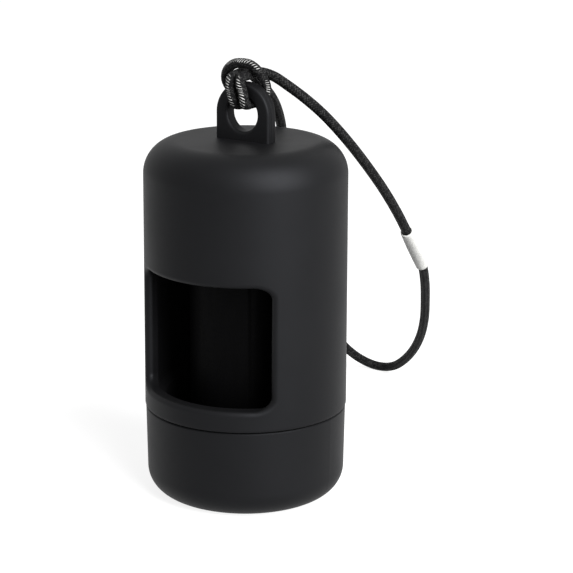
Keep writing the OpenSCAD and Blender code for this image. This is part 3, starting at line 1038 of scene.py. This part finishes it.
class DISPENSER_OT_threads(Operator):
    """Right-hand thread ridges on the housing's neck and in the base"""
    bl_idname = "dispenser.threads"
    bl_label = "Screw threads"

    def execute(self, context):
        sizes = context.scene.dispenser_sizes
        # radius of each ridge's foot and of its crest
        on_neck, in_base = (0.0196, 0.0204), (0.0208, 0.02004)
        outer = self.ridge("neck_thread", sizes, *on_neck, 0.0, "housing plastic")
        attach(outer, "housing")
        inner = self.ridge("base_thread", sizes, *in_base, math.pi, "base plastic")
        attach(inner, "screw_base")
        return {"FINISHED"}

    def ridge(self, name, sizes, root, crest, start, material):
        """Tapered ridge on a right-hand helix, running out at both ends."""
        foot, tip, low_z = 0.00072, 0.00030, 0.0124
        count = round(sizes.thread_turns * 96)
        rings = []
        for i in range(count + 1):
            s = i / count
            angle = start + 2 * math.pi * sizes.thread_turns * s
            z = low_z + sizes.thread_lead * sizes.thread_turns * s
            run_out = min(1.0, min(s, 1 - s) * sizes.thread_turns * 9)
            top = root + (crest - root) * math.sin(run_out * math.pi / 2)
            out = Vector((math.cos(angle), math.sin(angle), 0))
            flank = ((root, foot), (root + (top - root) * 0.85, tip + 0.00008),
                     (top, tip * 0.7))
            ring = [out * r + Vector((0, 0, z - dz)) for r, dz in flank]
            ring += [out * r + Vector((0, 0, z + dz)) for r, dz in reversed(flank)]
            rings.append(ring if crest > root else ring[::-1])
        vertices, faces = skin_rings(rings)
        return new_piece(name, vertices, faces, bpy.data.materials[material],
                         smooth=False)


class DISPENSER_OT_stage(Operator):
    """Pale floor, even room light and one large softbox"""
    bl_idname = "dispenser.stage"
    bl_label = "Floor and light"

    def execute(self, context):
        scene = context.scene
        studio = scene.dispenser_studio
        self.floor(studio)
        self.room(scene, studio)
        self.softbox(scene, studio)
        scene.view_settings.view_transform = "Standard"
        return {"FINISHED"}

    def floor(self, studio):
        """Round sheet of pale paper that fades into the white room."""
        bench = NodeBench(bpy.data.materials.new("floor paper"))
        fine = bench.speckle(bench.place(), 900.0, 3.0)
        paper = bench.coat({
            "Base Color": bench.blend(fine, (0.28, 0.28, 0.28), (0.30, 0.30, 0.30)),
            "Roughness": 0.9,
            "Specular IOR Level": 0.0,
            "Emission Color": (1.0, 1.0, 1.0),
            "Emission Strength": bench.maths(
                "MULTIPLY", bench.seen_directly(), studio.floor_glow),
        })
        count = 128
        rim = []
        for k in range(count):
            turn = 2 * math.pi * k / count
            rim.append(Vector((math.cos(turn), math.sin(turn), 0)) * studio.floor_size)
        floor = new_piece("floor", rim, [tuple(range(count))], paper, smooth=False)
        floor.location.z = -0.00002  # just under the part

    def room(self, scene, studio):
        """Even light from all round; a ray that looks at it meets white."""
        bench = NodeBench(bpy.data.worlds.new("room"))
        strength = bench.span(bench.seen_directly(), 0.0, 1.0, studio.room_light, 1.0)
        feeds = {"Color": (1.0, 1.0, 1.0), "Strength": strength}
        back = bench.add("ShaderNodeBackground", feeds).outputs["Background"]
        bench.add("ShaderNodeOutputWorld", {"Surface": back})
        scene.world = bench.owner

    def softbox(self, scene, studio):
        """Large soft light at the camera's right, aimed at the can's middle."""
        data = bpy.data.lights.new("softbox", "AREA")
        data.shape = "RECTANGLE"
        data.size, data.size_y = 0.6, 0.95
        data.energy = studio.side_light
        box = bpy.data.objects.new("softbox", data)
        box.location = (0.71, -0.235, 0.50)
        aim = Vector((0, 0, 0.05)) - box.location
        box.rotation_mode = "QUATERNION"
        box.rotation_quaternion = aim.to_track_quat("-Z", "Y")
        scene.collection.objects.link(box)


class DISPENSER_PT_pieces(Panel):
    """Pieces of the dispenser and their sizes and finishes"""
    bl_label = "Bag dispenser"
    bl_idname = "DISPENSER_PT_pieces"
    bl_space_type = "VIEW_3D"
    bl_region_type = "UI"
    bl_category = "Dispenser"

    def draw(self, context):
        layout = self.layout
        column = layout.column(align=True)
        for operator in PIECE_OPERATORS:
            column.operator(operator.bl_idname, text=operator.bl_label)
        for title, group in (("Sizes", context.scene.dispenser_sizes),
                             ("Finishes", context.scene.dispenser_finishes),
                             ("Studio", context.scene.dispenser_studio)):
            box = layout.box()
            box.label(text=title)
            for key in group.bl_rna.properties.keys():
                if key not in {"rna_type", "name"}:
                    box.prop(group, key)


PIECE_OPERATORS = (
    DISPENSER_OT_camera,
    DISPENSER_OT_elastic,
    DISPENSER_OT_can,
    DISPENSER_OT_base,
    DISPENSER_OT_roll,
    DISPENSER_OT_threads,
    DISPENSER_OT_stage,
)
GROUPS = (DispenserSizes, DispenserFinishes, StudioSettings)


def register():
    for cls in (*GROUPS, *PIECE_OPERATORS, DISPENSER_PT_pieces):
        bpy.utils.register_class(cls)
    bpy.types.Scene.dispenser_sizes = PointerProperty(type=DispenserSizes)
    bpy.types.Scene.dispenser_finishes = PointerProperty(type=DispenserFinishes)
    bpy.types.Scene.dispenser_studio = PointerProperty(type=StudioSettings)


def unregister():
    for key in ("dispenser_studio", "dispenser_finishes", "dispenser_sizes"):
        delattr(bpy.types.Scene, key)
    for cls in (DISPENSER_PT_pieces, *reversed(PIECE_OPERATORS), *reversed(GROUPS)):
        bpy.utils.unregister_class(cls)


def main():
    register()
    bpy.ops.dispenser.camera()
    bpy.ops.dispenser.elastic()
    bpy.ops.dispenser.can()
    bpy.ops.dispenser.base()
    bpy.ops.dispenser.roll()
    bpy.ops.dispenser.threads()
    bpy.ops.dispenser.stage()


if __name__ == "__main__":
    main()
